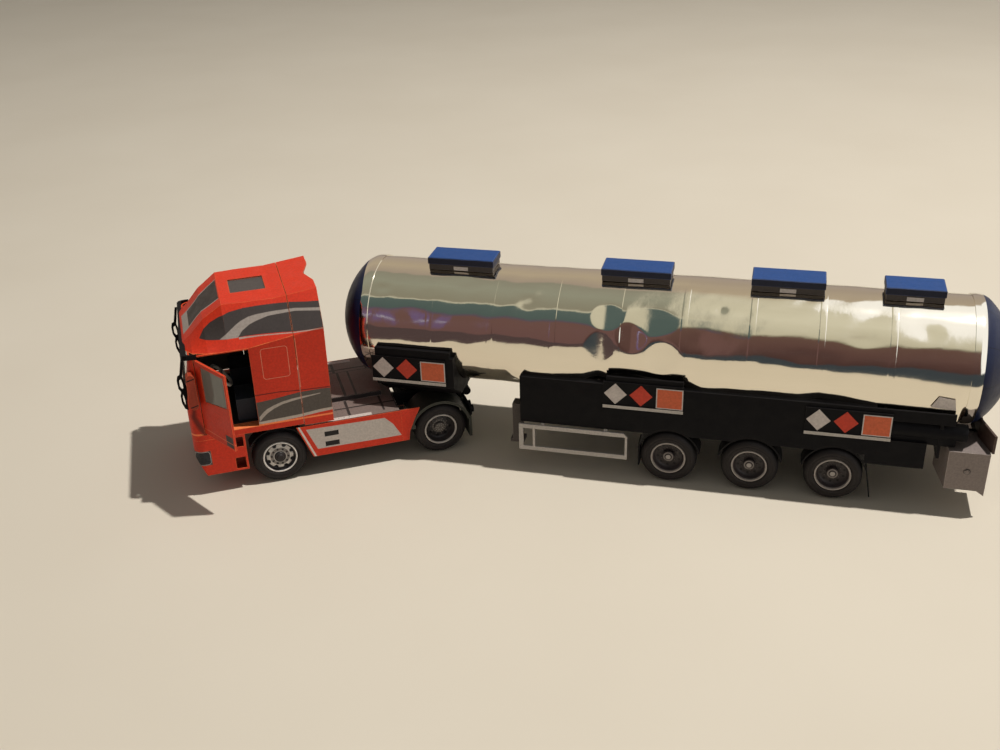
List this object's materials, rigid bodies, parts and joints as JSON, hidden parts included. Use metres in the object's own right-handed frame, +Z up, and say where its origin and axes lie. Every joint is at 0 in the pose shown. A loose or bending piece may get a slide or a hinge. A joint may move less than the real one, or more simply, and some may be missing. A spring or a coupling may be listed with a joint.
{
  "type": "tanker truck",
  "caption": "Card model of an articulated tanker lorry: orange cab turned on its kingpin, one door open, and a long mirror-film tank trailer with hatch boxes.",
  "frame": {"origin": "bottom centre of the bounding box at rest, on the floor", "axes": "+X along the trailer towards its front, +Y to the trailer's left, +Z up"},
  "size_m": [0.4694, 0.1592, 0.1146],
  "materials": {
    "mirror_film": "mirror",
    "orange_card": "printed satin",
    "navy_card": "printed satin",
    "black_card": "printed satin",
    "grey_card": "printed matte",
    "silver_card": "printed matte",
    "beige_card": "printed matte",
    "brown_card": "printed matte",
    "tyre_card": "printed matte",
    "clear_film": "clear",
    "steel_wire": "satin"
  },
  "bodies": {
    "trailer": {"tank_barrel": "mirror_film", "tank_cap_front": "navy_card", "tank_cap_rear": "navy_card", "hatch_bases": "grey_card", "hatch_lids": "navy_card", "front_bolster": "black_card", "coupler_plate": "grey_card", "kingpin": "grey_card", "trailer_frame": "black_card", "frame_saddles": "black_card", "axle_hangers": "black_card", "side_boards": "black_card", "sign_boards": "silver_card", "hose_tubes": "silver_card", "side_guards": "silver_card", "landing_legs": "black_card", "trailer_mudguards": "black_card", "rear_cabinets": "beige_card", "tail_board": "brown_card"},
    "trailer_wheels_1": {"trailer_axle_1": "steel_wire", "trailer_tyres_1": "tyre_card", "trailer_rims_1": "black_card"},
    "trailer_wheels_2": {"trailer_axle_2": "steel_wire", "trailer_tyres_2": "tyre_card", "trailer_rims_2": "black_card"},
    "trailer_wheels_3": {"trailer_axle_3": "steel_wire", "trailer_tyres_3": "tyre_card", "trailer_rims_3": "black_card"},
    "tractor": {"chassis_frame": "black_card", "axle_carriers": "black_card", "fifth_wheel": "grey_card", "deck": "grey_card", "side_skirts": "orange_card", "rear_wings": "black_card", "front_wings": "black_card", "lamp_bar": "black_card", "air_tanks": "black_card", "cab_body": "orange_card", "cab_roof": "orange_card", "rear_fairing": "orange_card", "windscreen": "clear_film", "sun_visor": "black_card", "mirror_arms": "black_card", "mirrors": "orange_card", "front_bumper": "orange_card", "headlights": "silver_card", "seats": "black_card", "dashboard": "navy_card", "steering_wheel": "black_card"},
    "front_wheels": {"front_axle": "steel_wire", "front_tyres": "tyre_card", "front_rims": "silver_card"},
    "rear_wheels": {"rear_axle": "steel_wire", "rear_tyres": "tyre_card", "rear_rims": "black_card"},
    "door_left": {"door_left": "orange_card", "door_left_window": "clear_film"},
    "door_right": {"door_right": "orange_card", "door_right_window": "clear_film"}
  },
  "joints": [
    {"name": "trailer_wheels_1_turn", "type": "hinge", "parent": "trailer", "child": "trailer_wheels_1", "pos_m": [-0.06077, -0.03563, 0.0156], "axis": [0, 1, 0], "continuous": true},
    {"name": "trailer_wheels_2_turn", "type": "hinge", "parent": "trailer", "child": "trailer_wheels_2", "pos_m": [-0.10507, -0.03563, 0.0156], "axis": [0, 1, 0], "continuous": true},
    {"name": "trailer_wheels_3_turn", "type": "hinge", "parent": "trailer", "child": "trailer_wheels_3", "pos_m": [-0.14937, -0.03563, 0.0156], "axis": [0, 1, 0], "continuous": true},
    {"name": "kingpin_turn", "type": "hinge", "parent": "trailer", "child": "tractor", "pos_m": [0.09463, -0.03563, 0.0363], "axis": [0, 0, 1], "range_deg": [-111, 49]},
    {"name": "front_wheels_turn", "type": "hinge", "parent": "tractor", "child": "front_wheels", "pos_m": [0.174, 0.01206, 0.0156], "axis": [-0.515, 0.8572, 0], "continuous": true},
    {"name": "rear_wheels_turn", "type": "hinge", "parent": "tractor", "child": "rear_wheels", "pos_m": [0.09309, -0.03656, 0.0156], "axis": [-0.515, 0.8572, 0], "continuous": true},
    {"name": "door_left_hinge", "type": "hinge", "parent": "tractor", "child": "door_left", "pos_m": [0.1868, 0.06513, 0.06], "axis": [0, 0, 1], "range_deg": [-15, 61]},
    {"name": "door_right_hinge", "type": "hinge", "parent": "tractor", "child": "door_right", "pos_m": [0.22687, -0.00155, 0.06], "axis": [0, 0, 1], "range_deg": [0, 73]}
  ]
}
